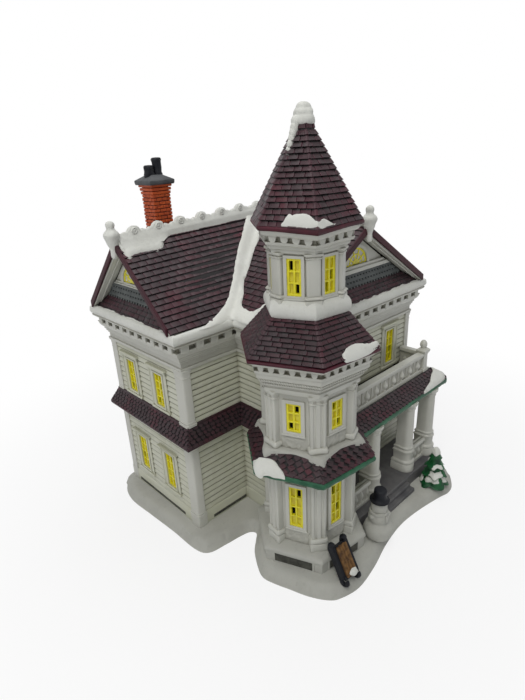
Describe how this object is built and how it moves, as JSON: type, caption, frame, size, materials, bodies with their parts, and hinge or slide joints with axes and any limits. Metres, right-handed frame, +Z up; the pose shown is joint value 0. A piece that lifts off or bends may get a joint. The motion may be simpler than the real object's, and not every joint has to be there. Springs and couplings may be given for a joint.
{
  "type": "lighted village house",
  "caption": "Snow-covered Victorian village house with a six-sided corner tower, porch and balcony, cast in glazed ceramic and lit by a clip-in lamp from the back.",
  "frame": {"origin": "under the middle of the bounding box, on the table", "axes": "+Z up, -Y the front with the porch and steps, +X to the right seen from the front"},
  "size_m": [0.1894, 0.1852, 0.2403],
  "materials": {
    "glaze": "cream glaze on clapboard walls",
    "trim": "off-white glaze",
    "snow": "matt white snow",
    "tile": "burgundy roof glaze with worn grey edges",
    "lattice": "yellow paint",
    "brick": "brick red with pale joints",
    "stone": "dark grey",
    "black": "black paint",
    "evergreen": "green paint with snow",
    "wood": "brown and black paint",
    "door": "dark red paint",
    "plastic": "moulded",
    "brass": "rolled screw shell",
    "bulb": "clear bulb"
  },
  "bodies": {
    "house": {"snow_base": "snow", "lower_walls": "glaze", "pent_roof": "tile", "upper_walls": "glaze", "cornice": "trim", "main_roof": "tile", "front_roof": "tile", "left_gable": "trim", "right_gable": "trim", "front_gable": "trim", "roof_snow": "snow", "left_finial": "snow", "right_finial": "snow", "front_finial": "snow", "chimney_stack": "brick", "chimney_cap": "stone", "short_chimney_pot": "black", "tall_chimney_pot": "black", "tower_plinth": "snow", "tower_lower_storey": "trim", "tower_skirt_roof": "tile", "tower_middle_storey": "trim", "tower_middle_roof": "tile", "tower_upper_storey": "trim", "spire_roof": "tile", "spire_finial": "snow", "porch_floor": "stone", "left_porch_column": "trim", "middle_porch_column": "trim", "right_porch_column": "trim", "left_porch_rail": "trim", "right_porch_rail": "trim", "porch_roof": "tile", "balcony_balustrade": "trim", "front_door": "door", "left_window_upper_front": "lattice", "left_window_upper_back": "lattice", "left_window_lower_front": "lattice", "left_window_lower_back": "lattice", "front_window_upper": "lattice", "left_gable_lunette": "lattice", "front_gable_lunette": "lattice", "tower_window_lower_wing": "lattice", "tower_window_lower_left": "lattice", "tower_window_lower_front": "lattice", "tower_window_middle_wing": "lattice", "tower_window_middle_left": "lattice", "tower_window_middle_front": "lattice", "tower_window_upper_wing": "lattice", "tower_window_upper_left": "lattice", "tower_window_upper_front": "lattice", "snowman_body": "snow", "snowman_hat": "black", "pine_tree": "evergreen", "sled": "wood"},
    "lamp": {"lamp_holder": "plastic"},
    "bulb": {"bulb_base": "brass", "bulb_glass": "bulb"}
  },
  "joints": [
    {"name": "lamp_pull", "type": "slide", "parent": "house", "child": "lamp", "axis": [0, 1, 0], "range_m": [0, 0.065]},
    {"name": "bulb_screw", "type": "hinge", "parent": "lamp", "child": "bulb", "pos_m": [0.00001, 0.066, 0.029], "axis": [0, 1, 0], "range_deg": [0, 1260]}
  ]
}
